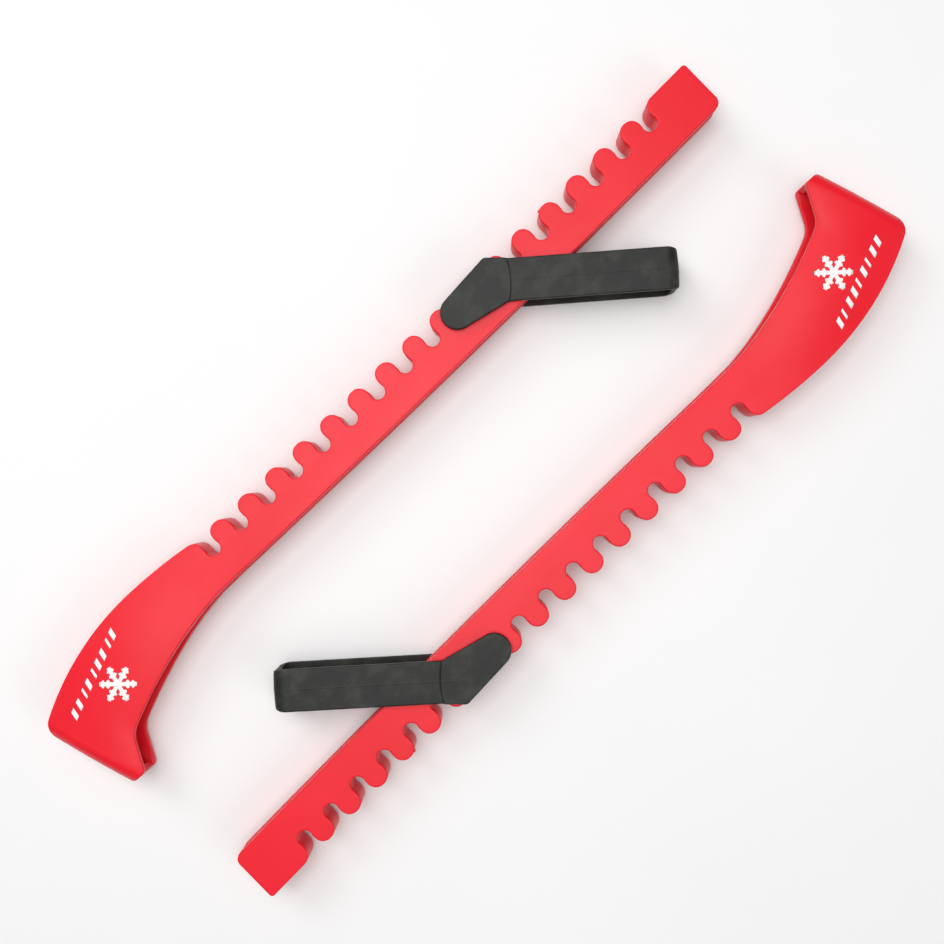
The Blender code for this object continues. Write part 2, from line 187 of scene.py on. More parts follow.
def toe_ground():
    """Two arcs tangent at (LOWEST, -SAG), between a tooth corner and the toe's front corner."""
    rear, front = (np.array([LOWEST, radius - SAG]) for radius in (REAR_SWEEP, FRONT_SWEEP))
    # the corner circle touches the neck's wall and, from inside, the rear arc
    x = NECK + TOOTH_CORNER
    drop = np.sqrt((REAR_SWEEP - TOOTH_CORNER) ** 2 - (x - LOWEST) ** 2)
    corner = np.array([x, rear[1] - drop])
    touch = np.degrees(np.arctan2(*(corner - rear)[::-1]))
    # the front corner's centre: inside the front arc and beside the front edge, a quadratic in y
    t = np.tan(LEAN)
    shift = FOOT - FRONT_CORNER / np.cos(LEAN) - LOWEST
    b = -2 * (t * shift + front[1])
    c = shift**2 + front[1] ** 2 - (FRONT_SWEEP - FRONT_CORNER) ** 2
    y = (-b - np.sqrt(b * b - 4 * (1 + t * t) * c)) / (2 + 2 * t * t)
    bend = np.array([LOWEST + shift - y * t, y])
    leave = np.degrees(np.arctan2(*(bend - front)[::-1]))
    return joined(
        arc(corner, TOOTH_CORNER, 180, touch + 360, CORNER_POINTS),
        arc(rear, REAR_SWEEP, touch, -90, REAR_POINTS),
        arc(front, FRONT_SWEEP, -90, leave, FRONT_POINTS),
        arc(bend, FRONT_CORNER, leave, np.degrees(LEAN), FOOT_POINTS),
    )


def ahead_of(path):
    """Distance from each point of a path to the front edge, square to it."""
    return (front_edge(path[:, 1]) - path[:, 0]) * np.cos(LEAN)


def at_front_distance(path, distance):
    """The points of a path that lie these distances behind the front edge."""
    behind = ahead_of(path)[::-1]
    return np.stack([np.interp(distance, behind, path[::-1, axis]) for axis in (0, 1)], axis=1)


toe_ground_path = toe_ground()
print("toe ground line", round(lengths(toe_ground_path)[-1] / MM, 1), "mm")

# %% [markdown]
# ## The mouth outline
#
# The mouth line is straight along the bar, climbs to the cup and turns over its top. The part that
# is open, up to the cup's rear corner, is the rim; the rest is the closed top.

# %% Mouth outline
TOE_FROM = 12.0 * MM             # where the toe's stations begin
CUP_BEND = 11.0 * MM             # radius between the climb and the cup's rear wall
REAR_ROUNDING = 2.6 * MM         # radius of the top's rear corner
REAR_LEG = 9.0 * MM              # a way along the top, to give the corner its direction
APPROACH = 4                     # the climb's direction is taken this many points from its end
CLIMB_POINTS, CUP_POINTS, TOP_POINTS = 90, 24, 90
REAR_MIDDLE = 4                  # the rear corner's middle point, where the rim ends


def climb(x):
    """The mouth line: level in the bar, then rising as a power of the way to the cup's corner."""
    share = np.clip((x - RIM_START) / (CUP_CORNER[0] - RIM_START), 0, 1)
    return BAR + (CUP_CORNER[1] - BAR) * share**RIM_POWER


def rim_path():
    """The climb, a round corner and the cup's rear wall; then the rest of the top's rear corner."""
    x = np.linspace(TOE_FROM, CUP_CORNER[0], CLIMB_POINTS)
    run = np.stack([x, climb(x)], axis=1)
    bend = fillet(run[-APPROACH], CUP_CORNER, CUP_REAR, CUP_BEND, CUP_POINTS)
    leg = CUP_REAR + [REAR_LEG, 0]
    rear = fillet(CUP_CORNER, CUP_REAR, leg, REAR_ROUNDING, 2 * REAR_MIDDLE + 1)
    rim_run = joined(run[run[:, 0] < bend[0, 0]], bend, rear[:REAR_MIDDLE + 1])
    return rim_run, rear[REAR_MIDDLE:]


rim, rear_half = rim_path()
top = joined(rear_half, fillet(CUP_REAR, (front_edge(TALL), TALL), (front_edge(0), 0), TOP_CORNER,
                               TOP_POINTS))
print("rim", round(lengths(rim)[-1] / MM, 1), "mm, top", round(lengths(top)[-1] / MM, 1), "mm")

# %% [markdown]
# ## Thickness
#
# The bar's sides are flat. The toe's sides bulge a little and thin out to a rounded front edge.
# Both are one function of the place, so neighbouring patches meet exactly.

# %% Thickness of the guard and of the space inside
EDGE = 0.6 * MM                  # rounding of the outer edges
HEEL_EDGE = 0.8 * MM             # rounding of the heel's end
BULGE_TO, BULGE_TURN = 60 * MM, 0.8 * np.pi    # full from this x on; its angle at the mouth
FLOOR_SWEEP = 205 * MM           # the floor rises by the square of x over this
POCKET_BULGE, POCKET_WALL = 0.8 * MM, 2.0 * MM    # the cup's bulge inside, and its wall
POCKET_X = 12 * MM, 62 * MM      # the slot widens to the cup between these
POCKET_UP = 2 * MM, 19 * MM      # heights over the floor between which it widens
POCKET_FRONT = 5 * MM, 12 * MM   # distances behind the front edge where its bulge fades


def half_thickness(x, y, share):
    """Half the thickness: flat, plus CROWN * sin(0.8 pi share), times the nose's ellipse."""
    bulge = CROWN * smooth(x, TOE_FROM, BULGE_TO) * np.sin(BULGE_TURN * np.clip(share, 0, 1))
    inside = np.clip((front_edge(y) - x) * np.cos(LEAN) / NOSE, 0, 1)
    nose = np.sqrt(1 - (1 - inside) ** 2)
    from_heel = np.clip((x - HEEL) / HEEL_EDGE, 0, 1)
    heel_drop = HEEL_EDGE * (1 - np.sqrt(1 - (1 - from_heel) ** 2))
    return NOSE_HALF + (HALF + bulge - NOSE_HALF) * nose - heel_drop


def floor_height(x):
    """Y of the slot's floor: level, then rising under the front of the toe as a parabola."""
    return FLOOR + np.maximum(x - LOWEST, 0) ** 2 / FLOOR_SWEEP


def half_pocket(x, y):
    """Half the width inside: the blade slot, widening with x and with height into the toe's cup."""
    wide = smooth(x, *POCKET_X)
    height = smooth(y - floor_height(x), *POCKET_UP)
    behind = smooth((front_edge(y) - x) * np.cos(LEAN), *POCKET_FRONT)
    return SLOT + (HALF + POCKET_BULGE * behind - POCKET_WALL - SLOT) * wide * height


# %% [markdown]
# ## Patches
#
# The closed surface is put together from patches: grids of points whose rows and columns are
# joined by four-sided faces, and a few flat many-sided faces. Patches share their border points,
# so merging the doubles sews them. Only the upper half is built, then mirrored in the mid-plane.

# %% Patch helpers
SEW, FINE_SEW = 2e-6, 1e-6       # metres within which points are merged
SPECK = 1e-7                     # an edge shorter than this is no edge
TO_MIDDLE = np.array([[1, 1, 1], [1, 1, 0.5], [1, 1, 0]])    # from a ring to the mid-plane


class Shell:
    """Collects patches as one list of points and one of faces."""

    def __init__(self):
        self.points, self.faces, self.count = [], [], 0

    def grid(self, block):
        """A (rows, columns, 3) block: each cell becomes one face."""
        rows, columns = block.shape[:2]
        index = self.count + np.arange(rows * columns).reshape(rows, columns)
        cells = np.stack([index[:-1, :-1], index[1:, :-1], index[1:, 1:], index[:-1, 1:]], axis=-1)
        self.faces += cells.reshape(-1, 4).tolist()
        self.points.append(block.reshape(-1, 3))
        self.count += rows * columns

    def polygon(self, ring):
        """One flat face round a ring of points."""
        self.faces.append(list(range(self.count, self.count + len(ring))))
        self.points.append(np.asarray(ring))
        self.count += len(ring)

    def closing(self, ring):
        """A patch from a ring of points straight to the mid-plane."""
        self.grid(ring[:, None] * TO_MIDDLE)

    def mirrored(self):
        """The same patches again with z turned round."""
        points = np.concatenate(self.points)
        self.faces += [[i + self.count for i in face] for face in self.faces]
        self.points = [points, points * [1, 1, -1]]
        self.count *= 2


def sewn(name, points, faces, sew):
    """A mesh object from points and faces, its doubles merged and its faces turned outwards."""
    mesh = bpy.data.meshes.new(name)
    mesh.from_pydata(points.tolist(), [], faces)
    bm = bmesh.new()
    bm.from_mesh(mesh)
    bmesh.ops.remove_doubles(bm, verts=bm.verts, dist=sew)
    bmesh.ops.dissolve_degenerate(bm, edges=bm.edges, dist=SPECK)
    bmesh.ops.recalc_face_normals(bm, faces=bm.faces)
    open_edges = sum(not edge.is_manifold for edge in bm.edges)
    bm.to_mesh(mesh)
    bm.free()
    mesh.shade_smooth()
    made = bpy.data.objects.new(name, mesh)
    bpy.context.scene.collection.objects.link(made)
    print(name, len(mesh.vertices), "points,", open_edges, "open edges")
    return made


# %% [markdown]
# ## The guard's surface
#
# Every station across the guard is a straight line from the ground to the mouth. A band of rows
# follows the ground outline and rolls over its edge with a small radius. Each tooth's cheek is one
# flat face. From a line just above the notches the stations climb to the mouth, roll over the rim
# and go down the inside to the slot's floor. At the very front the stations crowd together,
# because the nose curves most there.

# %% Stations of the guard
CHEEK = 14.0 * MM                # height of the line between the teeth's cheeks and the bar
SHARES = np.concatenate([np.linspace(0, 0.6, 13), np.linspace(0.65, 1, 9)])
CHEEK_ROW = 12                   # the row of SHARES on that line
HEEL_STATIONS, RIM_STATIONS, NOSE_STATIONS = 12, 110, 44
SPARE = 0.3 * MM                 # no point of the outline lies nearer to the toe's first station

heel_low = arc((HEEL + HEEL_GROUND, HEEL_GROUND), HEEL_GROUND, 180, 270, HEEL_STATIONS)
heel_high = arc((HEEL + HEEL_MOUTH, BAR - HEEL_MOUTH), HEEL_MOUTH, 180, 90, HEEL_STATIONS)
bar_x = np.arange(1 - 2 * NOTCHES, 1) / 2 * PITCH    # a station at each notch and each tooth
bar_high = np.stack([bar_x, np.full_like(bar_x, BAR)], axis=1)

rim_end = ahead_of(rim)[-1]
nose_distance = rim_end * (1 - np.sin(np.linspace(0, np.pi / 2, NOSE_STATIONS)))
toe_x, toe_y = toe_ground_path[:CORNER_POINTS + REAR_POINTS].T
toe_start = [[TOE_FROM, np.interp(TOE_FROM, toe_x, toe_y)]]
behind_nose = ahead_of(toe_ground_path) > rim_end
toe_middle = toe_ground_path[behind_nose & (toe_ground_path[:, 0] > TOE_FROM)]
toe_before = joined(toe_start, toe_middle, at_front_distance(toe_ground_path, [rim_end]))
rim_low = along(toe_before, np.linspace(0, 1, RIM_STATIONS))
rim_high = along(rim, np.linspace(0, 1, RIM_STATIONS))
nose_low = at_front_distance(toe_ground_path, nose_distance)[1:]
nose_high = at_front_distance(top, nose_distance)[1:]
toe_low, toe_high = np.concatenate([rim_low, nose_low]), np.concatenate([rim_high, nose_high])

teeth = [notch(-i * PITCH) for i in range(NOTCHES - 1, -1, -1)]
before_toe = joined(teeth[-1][:-CORNER_POINTS],
                    toe_ground_path[toe_ground_path[:, 0] < TOE_FROM - SPARE])
bar_outline = joined(heel_low, *teeth[:-1], before_toe)
outline = np.concatenate([bar_outline, toe_low])
print(len(outline), "points on the ground outline,", len(toe_low), "stations in the toe")

# %% Rows of the guard
LAP = 0.15 * MM                  # a narrow flat row beside each rounding keeps flat faces flat
ROLL = np.radians([0, 18, 36, 54, 72, 90])    # the rounding's rows, as angles
RIM_EDGE = 0.5 * MM              # rounding of the rim's inner edge
FLOOR_EDGE = 0.6 * MM            # rounding at the pocket's floor
PARTING = 0.03 * MM              # the mould's joint stands this proud along the mid-plane
PARTING_ROWS = 0.1 * MM, 0.25 * MM
FOLLOW = 2 * MM, 12 * MM         # behind the front edge, the inward way turns between these
WALL_ROWS = 15
POCKET_TO, POCKET_POINTS = 82 * MM, 60    # where the floor's rise ends
FRONT_WALL, TOP_WALL, REAR_WALL = 4.6 * MM, 2.8 * MM, 0.8 * MM
FRONT_FOOT = 25.5 * MM           # height where the front wall begins
FOOT_BEND, HEAD_BEND, WALL_BEND_POINTS = 4.5 * MM, 2.4 * MM, 16


def raised(flat, z):
    """Points of the plane given a height: the bar's arch is added here, at the very end."""
    z = np.broadcast_to(z, flat.shape[:-1])
    return np.stack([flat[..., 0], bowed(flat[..., 0], flat[..., 1]), z], axis=-1)


def inwards(path, normals, ruled):
    """Directions into the plastic: square to the outline, but along the station at the nose."""
    follow = (1 - smooth(ahead_of(path), *FOLLOW))[:, None]
    return unit(normals * (1 - follow) + ruled * follow)


def edge_at(half):
    """The rounding's radius: EDGE, or half of what the thickness leaves at the nose."""
    return np.minimum(EDGE, half / 2)


def band_rows(path, way):
    """Rows from the mid-plane over the ground edge: in r (1 - cos a), up half - r (1 - sin a)."""
    half = half_thickness(path[:, 0], path[:, 1], 0.0)
    edge = edge_at(half)
    rows = [raised(path - way * PARTING, 0 * half)]
    rows += [raised(path, 0 * half + height) for height in PARTING_ROWS]
    rows.append(raised(path, half / 2))
    for angle in ROLL:
        inset = edge * (1 - np.cos(angle))
        rows.append(raised(path + way * inset[:, None], half - edge * (1 - np.sin(angle))))
    support = path + way * (edge + LAP)[:, None]
    rows.append(raised(support, half_thickness(support[:, 0], support[:, 1], 0.0)))
    return np.stack(rows, axis=1), support


def side_rows(low, high, shares, bulge_shares):
    """Rows up the guard's side, straight from low to high."""
    flat = low[:, None] + (high - low)[:, None] * shares[None, :, None]
    return raised(flat, half_thickness(flat[..., 0], flat[..., 1], bulge_shares[None, :]))


def mouth_roll(path, way):
    """The outer rounding of the mouth's edge, from the side over to the mouth."""
    half = half_thickness(path[:, 0], path[:, 1], 1.0)
    edge = edge_at(half)
    rows = []
    for angle in ROLL[::-1]:
        inset = edge * (1 - np.cos(angle))
        rows.append(raised(path + way * inset[:, None], half - edge * (1 - np.sin(angle))))
    return np.stack(rows, axis=1)


def inside_rows(path, way, border):
    """Over the rim's inner edge, straight to the border, a small roll, and to the mid-plane."""
    rows = []
    pocket = half_pocket(path[:, 0], path[:, 1])
    for angle in ROLL:
        inset = RIM_EDGE * (1 - np.cos(angle))
        rows.append(raised(path + way * inset, pocket + RIM_EDGE * (1 - np.sin(angle))))
    edge = path + way * RIM_EDGE
    run = unit(border - edge)
    end = border - run * FLOOR_EDGE
    for share in np.linspace(0, 1, WALL_ROWS)[1:]:
        flat = edge + (end - edge) * share
        rows.append(raised(flat, half_pocket(flat[:, 0], flat[:, 1])))
    width = half_pocket(end[:, 0], end[:, 1])
    for angle in ROLL[1:]:
        inset = FLOOR_EDGE * (1 - np.cos(angle))
        rows.append(raised(end + run * FLOOR_EDGE * np.sin(angle), width - inset))
    rows.append(raised(border, 0 * width))
    return np.stack(rows, axis=1)


def pocket_border():
    """The toe pocket's limit: along the floor, up inside the front wall and back under the top."""
    x = np.linspace(TOE_FROM, POCKET_TO, POCKET_POINTS)
    run = np.stack([x, floor_height(x)], axis=1)
    inner = FRONT_WALL / np.cos(LEAN)
    ceiling = TALL - TOP_WALL
    foot = np.array([front_edge(FRONT_FOOT) - inner, FRONT_FOOT])
    head = np.array([front_edge(ceiling) - inner, ceiling])
    rear = CUP_REAR + [REAR_WALL, -TOP_WALL]
    low = fillet(run[-1], foot, head, FOOT_BEND, WALL_BEND_POINTS)
    high = fillet(foot, head, rear, HEAD_BEND, WALL_BEND_POINTS)
    return joined(run, low, high, [rear])


# %% The guard as one closed surface
CROWDING = 1.15                  # above 1, the border's stations crowd together at its start


def guard_points():
    """All patches of the upper half, mirrored. Returns points, faces and the toe's side."""
    shell = Shell()
    toe_rule = unit(toe_high - toe_low)
    way = left_of(outline)
    way[:HEEL_STATIONS] = unit(heel_high - heel_low)
    way[-len(toe_low):] = inwards(toe_low, way[-len(toe_low):], toe_rule)
    band, support = band_rows(outline, way)
    shell.grid(band)

    high = np.concatenate([heel_high, bar_high, toe_high])
    high_way = -left_of(high)
    high_way[:HEEL_STATIONS] = unit(heel_low - heel_high)
    high_way[-len(toe_high):] = inwards(toe_high, high_way[-len(toe_high):], -toe_rule)
    half = half_thickness(high[:, 0], high[:, 1], 1.0)
    high_side = high + high_way * (edge_at(half) + LAP)[:, None]
    bar_low = np.stack([bar_x, np.full_like(bar_x, CHEEK)], axis=1)
    first_toe = HEEL_STATIONS + len(bar_x)

    # the sides: whole stations at the heel and the toe, and only those above the cheeks in the bar
    heel_side = side_rows(support[:HEEL_STATIONS], high_side[:HEEL_STATIONS], SHARES, SHARES)
    toe_side = side_rows(support[-len(toe_low):], high_side[first_toe:], SHARES, SHARES)
    upper = (SHARES[CHEEK_ROW:] - SHARES[CHEEK_ROW]) / (1 - SHARES[CHEEK_ROW])
    bar_side = side_rows(bar_low, high_side[HEEL_STATIONS:first_toe], upper, 0 * upper)
    shell.grid(heel_side[:, :CHEEK_ROW + 1])
    shell.grid(toe_side[:, :CHEEK_ROW + 1])
    top_side = np.concatenate([heel_side[:, CHEEK_ROW:], bar_side, toe_side[:, CHEEK_ROW:]])
    roll = mouth_roll(high, high_way)
    shell.grid(np.concatenate([top_side, roll], axis=1))

    # the teeth's cheeks: one face from root to root, with half a pitch more at either end
    roots = [(-i * PITCH, DEPTH) for i in range(NOTCHES - 1, -1, -1)]
    crest = [np.argmin(np.abs(bar_outline - root).sum(axis=1)) for root in roots]
    cheek = raised(support, HALF)
    line = raised(bar_low, HALF)
    shell.polygon(np.concatenate([cheek[HEEL_STATIONS - 1:crest[0] + 1], line[1::-1],
                                  heel_side[-1, CHEEK_ROW:0:-1]]))
    for i in range(NOTCHES - 1):
        above = line[2 * i + 1:2 * i + 4][::-1]
        shell.polygon(np.concatenate([cheek[crest[i]:crest[i + 1] + 1], above]))
    shell.polygon(np.concatenate([cheek[crest[-1]:len(bar_outline) + 1],
                                  toe_side[0, 1:CHEEK_ROW + 1], line[-1:]]))

    # the slot and the cup
    rim_last = first_toe + RIM_STATIONS
    heel_border = np.stack([high[:first_toe, 0], np.full(first_toe, FLOOR)], axis=1)
    toe_border = along(pocket_border(), np.linspace(0, 1, RIM_STATIONS) ** CROWDING)
    border = np.concatenate([heel_border, toe_border])
    inside = inside_rows(high[:rim_last], high_way[:rim_last], border)
    shell.grid(np.concatenate([roll[:rim_last, -1:], inside], axis=1))
    shell.closing(np.concatenate([roll[rim_last - 1, -1:], inside[-1]]))
    shell.closing(roll[rim_last - 1:, -1])

    # the nose and the heel's end
    shell.closing(np.concatenate([band[-1], toe_side[-1, 1:], roll[-1]]))
    shell.polygon(np.concatenate([band[0], heel_side[0, 1:], roll[0], inside[0]]))
    shell.mirrored()
    return np.concatenate(shell.points), shell.faces, toe_side


guard_xyz, guard_faces, toe_cheek = guard_points()
print("guard:", len(guard_xyz), "points in", len(guard_faces), "faces before sewing")

# %% [markdown]
# ## Gate nibs
#
# The plastic enters the mould at the teeth, and breaking it off leaves a nib on some tips. Each
# nib is a small closed egg half sunk in the tip, added to the guard's own mesh.

# %% Nibs
NIB_TEETH = [0, 1, 2, 3, 6, 9, 12]
NIB_SHIFT = 1.1 * MM             # a nib sits this far in front of its tooth's middle
NIB_RADII = np.array([0.9, 0.75, 0.9]) * MM
NIB_AROUND, NIB_RINGS = 17, 9


def eggs(centres, radii):
    """Closed eggs: centre + radii * (sin a cos b, sin a sin b, cos a). Returns points and faces."""
    a, b = np.meshgrid(np.linspace(0, np.pi, NIB_RINGS), np.linspace(0, 2 * np.pi, NIB_AROUND),
                       indexing="ij")
    skin = np.stack([np.sin(a) * np.cos(b), np.sin(a) * np.sin(b), np.cos(a)], axis=-1) * radii
    shell = Shell()
    for centre in centres:
        shell.grid(skin + centre)
    return np.concatenate(shell.points), shell.faces


nib_x = -(np.array(NIB_TEETH) + 0.5) * PITCH
nib_centres = raised(np.stack([nib_x + NIB_SHIFT, 0 * nib_x], axis=1), 0.0)
nib_xyz, nib_faces = eggs(nib_centres, NIB_RADII)
all_faces = guard_faces + [[i + len(guard_xyz) for i in face] for face in nib_faces]
all_xyz = np.concatenate([guard_xyz, nib_xyz])

# %% [markdown]
# ## Placing the two guards
#
# The working model gives the point where each strap turns. The guard's own frame puts that point
# in the tenth notch, so the guard is moved until the two agree. The second guard is the first one
# turned half round, less a fraction of a degree, as a pair dropped on a table lies.

# %% Placing
STRAP_NOTCH = 9                  # the notches are counted from 0, at the toe
ASKEW = np.radians(0.61)
TURNS = {"right": 0.0, "left": np.pi - ASKEW}
STRAP_TURNS = {"right": np.radians(138.7), "left": np.radians(140.0)}
GUARD_SHARP, STRAP_SHARP = 38, 50    # degrees between two faces that make an edge sharp
pivot_x = -STRAP_NOTCH * PITCH
PIVOT = np.array([pivot_x, bowed(pivot_x, DEPTH - ROOT), 0.0])
swings = {joint["child"].split("_")[0]: np.array(joint["pos_m"]) for joint in frame["joints"]
          if joint["type"] == "hinge"}


def turned(points, angle):
    """Points turned about the z axis: (x cos a - y sin a, x sin a + y cos a, z)."""
    c, s = np.cos(angle), np.sin(angle)
    x, y, z = points[..., 0], points[..., 1], points[..., 2]
    return np.stack([x * c - y * s, x * s + y * c, z], axis=-1)


def on_guard(points, side):
    """From the guard's own frame to the row's frame."""
    return turned(points - PIVOT, TURNS[side]) + swings[side]


def finished(made, angle):
    """Marks edges sharper than the angle: rounded faces shade smoothly and corners stay crisp."""
    made.data.set_sharp_from_angle(angle=np.radians(angle))


guards = {}
for side in ("right", "left"):
    guards[side] = sewn(side + "_guard_moulding", on_guard(all_xyz, side), all_faces, SEW)
    finished(guards[side], GUARD_SHARP)
    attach(guards[side], side + "_guard")
    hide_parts(side + "_guard_body")

# %% [markdown]
# ## The strap
#
# The strap is one moulding of black rubber: two thick heads, a band that runs round the end, and a
# bar between the heads that sits in a notch. Unrolled, it is a flat strip, so it is built flat: l
# along the strip, w across it and n through its thickness. Rolling it up along the loop's path is
# the last step.

# %% The strap's outline, unrolled
LOOP = 7.5 * MM                  # half the space inside the loop
REACH = 88.3 * MM                # cross-bar to the inside of the end wall
BEND = 2.8 * MM                  # inside radius of the loop's end
HEAD_C, HEAD_R = np.array([-0.9, -0.4]) * MM, 7.0 * MM    # the head's round end
HEAD_END = 20.6 * MM             # cross-bar to the step down to the band
HEAD_HEEL, HEEL_BEND, HEEL_POINTS = np.array([11.2, 21.0]) * MM, 2.6 * MM, 16
SHOULDER, SHOULDER_TO = np.array([19.4, 20.5]) * MM, 21.4 * MM    # the upper edge, heel to band
BAND_LOW, BAND_HIGH = 2.7 * MM, 20.2 * MM
BAND_MID, BAND_HALF = 11.45 * MM, 8.75 * MM
STRAIGHT = LOOP - BEND           # half the end wall's flat length
TURN = STRAIGHT + BEND * np.pi / 2    # half the strip's length up to the straight side
STRIP = REACH - BEND + TURN      # half its length up to the cross-bar


def along_strap(l):
    """How far from the cross-bar a station of the unrolled strip lies, before the end bend."""
    return STRIP - np.abs(l)


def tangent(point, side):
    """Where a line from the point touches the head's round end; side is +1 above and -1 below."""
    way = point - HEAD_C
    angle = np.arctan2(way[1], way[0]) + side * np.arccos(HEAD_R / np.linalg.norm(way))
    return HEAD_C + HEAD_R * np.array([np.cos(angle), np.sin(angle)])


def edges(s):
    """Lower and upper edge at s: the head's circle, its straight flanks, then the band."""
    low_from, high_from = tangent(np.array([HEAD_END, BAND_LOW]), -1), tangent(HEAD_HEEL, 1)
    round_end = np.sqrt(np.maximum(HEAD_R**2 - (s - HEAD_C[0]) ** 2, 0))
    low = np.interp(s, [low_from[0], HEAD_END], [low_from[1], BAND_LOW])
    low = np.where(s < low_from[0], HEAD_C[1] - round_end, low)
    heel = fillet(high_from, HEAD_HEEL, SHOULDER, HEEL_BEND, HEEL_POINTS)
    rise = joined([high_from], heel, [SHOULDER, [SHOULDER_TO, BAND_HIGH]])
    high = np.where(s < high_from[0], HEAD_C[1] + round_end, np.interp(s, rise[:, 0], rise[:, 1]))
    return low, high


# %% The strap's thickness, unrolled
HEAD_THICK, BAND_THICK = 2.7 * MM, 2.2 * MM
STRAP_EDGE, INNER_EDGE = 0.6 * MM, 0.25 * MM    # rounding of the outer and the inner edges
TRIM, TRIM_LENGTH = 1.0 * MM, (3.4 * MM, 9.0 * MM)    # the loop's end is narrower by this
KNOTS = np.array([0, 0.03, 0.1, 0.2, 0.33, 0.5, 0.75, 1.1]) * MM    # rows beside each edge
KNOTS_WIDTH = 6 * MM             # where the strip is narrower, the rows draw together
ROUND_TO = 3 * MM                # further than this before its centre, the head is all circle
STEP_CURVE, STEP_RUN = 1.1 * MM, (-0.2 * MM, 0.15 * MM)    # the step's arch and slope
CREASE_DEPTH, CREASE_AT, CREASE_WIDE = 0.16 * MM, 0.32 * MM, 0.2 * MM    # past the step
LINE_AT, LINE_HIGH, LINE_WIDE = 11.0 * MM, 0.07 * MM, 0.16 * MM    # the mould's line
LINE_FADE = 9 * MM, 15 * MM      # it fades in between these
SWELL_HIGH, SWELL_LONG = 0.6 * MM, 9 * MM    # the end wall's swelling
NUB_HIGH, NUB_LONG, NUB_WIDE = 0.9 * MM, 0.7 * MM, 0.75 * MM    # the gate's nub on it


def strip_points(l, share):
    """Places on the strip and their distance from its outline; share runs from edge to edge."""
    s = along_strap(l)
    low, high = edges(s)
    trim = TRIM * (1 - smooth(np.abs(l), *TRIM_LENGTH))
    low, high = low + trim, high - trim
    width = high - low
    scale = np.minimum(1, width / KNOTS_WIDTH)[:, None]
    near, far = low[:, None] + KNOTS * scale, high[:, None] - KNOTS[::-1] * scale
    middle = near[:, -1:] + (far[:, :1] - near[:, -1:]) * share
    w = np.concatenate([near, middle, far], axis=1)
    # a height over a sloping edge, divided by sqrt(1 + slope^2), is the distance square to it
    rises = [ahead - behind for ahead, behind in zip(edges(s + MM / 2), edges(s - MM / 2))]
    square_low, square_high = (np.sqrt(1 + (rise / MM) ** 2)[:, None] for rise in rises)
    inside = np.minimum((w - low[:, None]) / square_low, (high[:, None] - w) / square_high)
    to_circle = HEAD_R - np.hypot(s[:, None] - HEAD_C[0], w - HEAD_C[1])
    inside = np.where(s[:, None] < HEAD_C[0] - ROUND_TO, to_circle, inside)
    return s[:, None] + 0 * w, w, np.maximum(inside, 0)


def rounding(inside, radius):
    """How far a face drops near an edge: r (1 - sqrt(1 - (1 - distance / r)^2))."""
    near = 1 - np.clip(inside / radius, 0, 1)
    return radius * (1 - np.sqrt(1 - near**2))


def outer_height(l, s, w):
    """Thickness: the head's, a curved step down to the band's with a crease at its foot, and the
    mould's marks: a thin line along the middle, a swelling of the end wall and the gate's nub."""
    off = (w - BAND_MID) / BAND_HALF
    step = HEAD_END + STEP_CURVE * (1 - off**2)
    past = smooth(s, step + STEP_RUN[0], step + STEP_RUN[1])
    height = BAND_THICK + (HEAD_THICK - BAND_THICK) * (1 - past)
    height = height - CREASE_DEPTH * np.exp(-(((s - step - CREASE_AT) / CREASE_WIDE) ** 2))
    l = l[:, None]
    line = np.exp(-(((w - LINE_AT) / LINE_WIDE) ** 2)) * smooth(s, *LINE_FADE)
    wall = np.clip(1 - (l / SWELL_LONG) ** 2, 0, 1) * np.clip(1 - off**2, 0, 1)
    nub = np.exp(-((np.abs(l) / NUB_LONG) ** 3) - (np.abs(w - LINE_AT) / NUB_WIDE) ** 3)
    return height + LINE_HIGH * line + SWELL_HIGH * wall + NUB_HIGH * nub


# %% Rolling the strip into a loop
TIP_STATIONS, TURN_STATIONS, WALL_STATIONS = 26, 14, 12
# from, to and spacing in mm: the head, its step, the band, and the band near the bend
RUNS = [(0, 19.6, 0.5), (19.6, 22.6, 0.07), (22.8, 80, 1.1), (80, 85.5, 0.5)]
WALL_FROM, NUB_FROM, NUB_TO = 1.3 * MM, 1.2 * MM, 0.05 * MM    # stations crowd at the nub
ACROSS = 26                      # even rows across the strip, and more where the line runs
LINE_ROWS = 0.474 + np.array([-0.045, -0.028, -0.018, -0.01, 0, 0.01, 0.018, 0.028, 0.045])
CROSS_RADIUS, CROSS_HALF, CROSS_AROUND = 2.85 * MM, 8.6 * MM, 65


def rolled(l, w, n):
    """Strip to loop: straight sides, two quarter bends, a flat end wall; n points outwards."""
    side, far = np.sign(l), np.abs(l)
    angle = np.clip((far - STRAIGHT) / BEND, 0, np.pi / 2)
    s = np.where(far > TURN, along_strap(l), REACH - BEND + BEND * np.cos(angle))
    z = np.where(far < STRAIGHT, l, side * (STRAIGHT + BEND * np.sin(angle)))
    angle = np.where(far > TURN, np.pi / 2, angle)
    return np.stack([s + n * np.cos(angle), w, z + side * n * np.sin(angle)], axis=-1)


